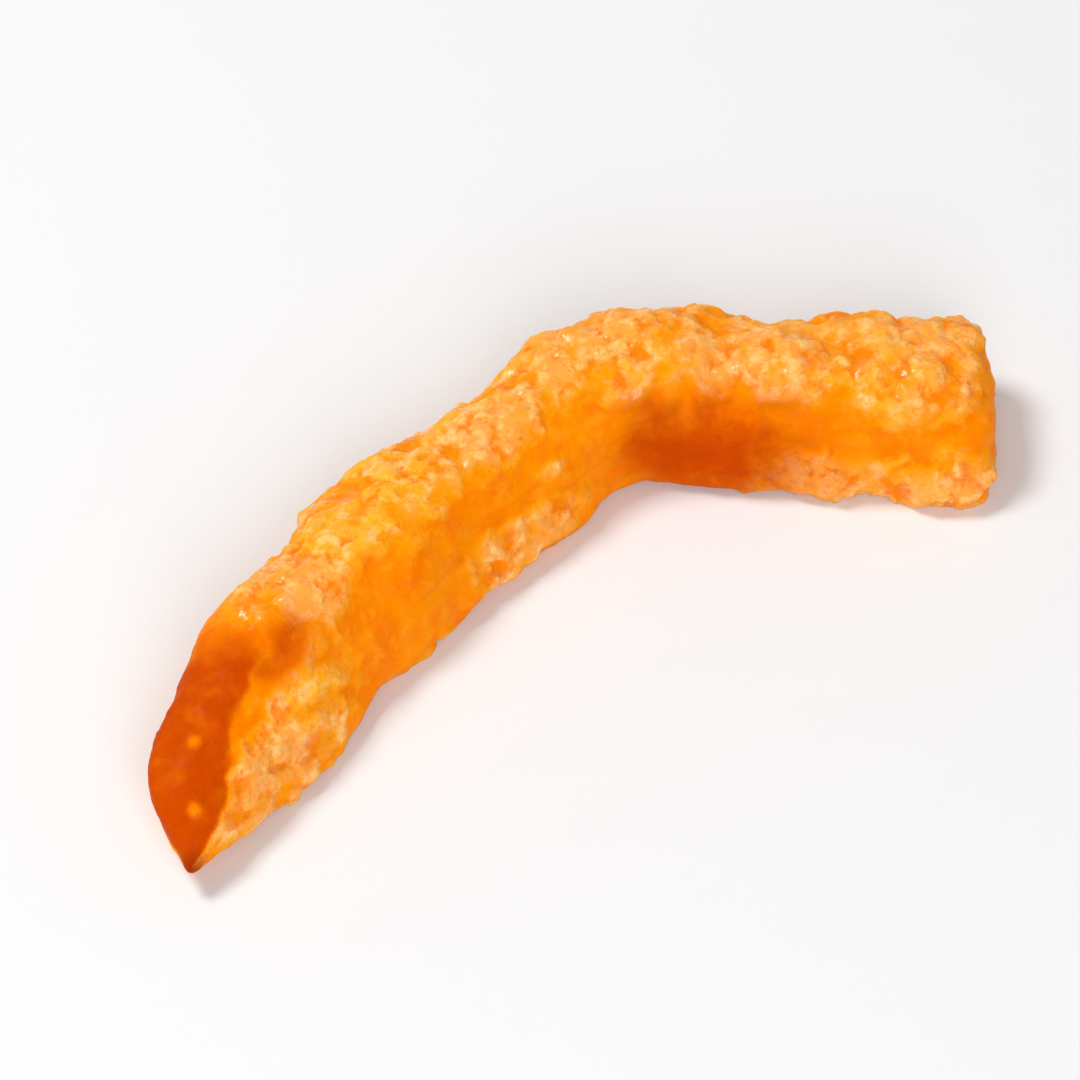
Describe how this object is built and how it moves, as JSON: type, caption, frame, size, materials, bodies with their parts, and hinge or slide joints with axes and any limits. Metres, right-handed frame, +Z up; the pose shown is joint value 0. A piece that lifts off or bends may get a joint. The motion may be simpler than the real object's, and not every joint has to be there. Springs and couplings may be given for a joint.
{
  "type": "sweet potato fry",
  "caption": "Battered, deep-fried sweet potato fry: a bent stick, pointed at one end and cut blunt at the other, that lies on a flat cut side.",
  "frame": {"origin": "centre of the bounding box in plan, on the plane of the flat underside", "axes": "+Z up, away from the flat underside; +X along the length, from the pointed end to the blunt end; +Y towards the outside of the bend"},
  "size_m": [0.0674, 0.026, 0.0094],
  "materials": {
    "fried_crust": "oily fried batter over orange sweet potato: smooth saturated orange faces, pale blistered crust along the edges, browned point"
  },
  "bodies": {
    "root": {"fry": "fried_crust"}
  },
  "joints": []
}
